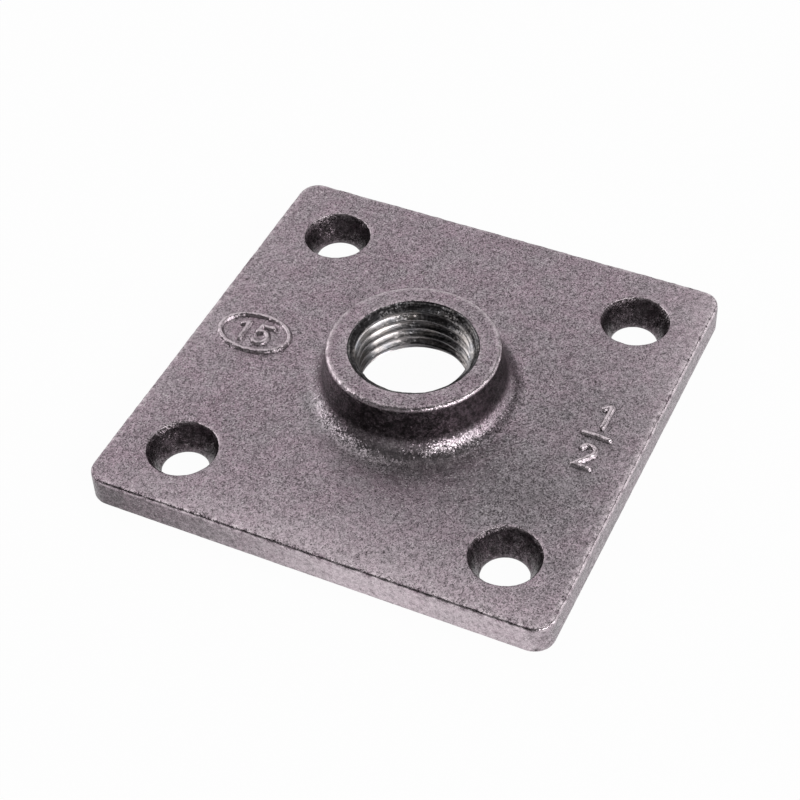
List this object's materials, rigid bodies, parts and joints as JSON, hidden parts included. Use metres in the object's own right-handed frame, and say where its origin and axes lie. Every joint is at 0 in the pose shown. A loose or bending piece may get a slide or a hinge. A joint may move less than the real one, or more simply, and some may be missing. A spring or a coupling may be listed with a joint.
{
  "type": "threaded floor flange",
  "caption": "Square cast iron floor flange: a raised round hub with a tapped bore for pipe, and tapered screw holes in the plate's corners.",
  "frame": {"origin": "centre of the underside, on the pipe's axis", "axes": "+Z along the pipe's axis, out of the hub's mouth; X and Y along the plate's sides"},
  "size_m": [0.08, 0.08, 0.0137],
  "materials": {
    "cast_iron": "raw as-cast iron, shot blasted, with a fine grain"
  },
  "bodies": {
    "root": {"floor_flange": "cast_iron"}
  },
  "joints": []
}
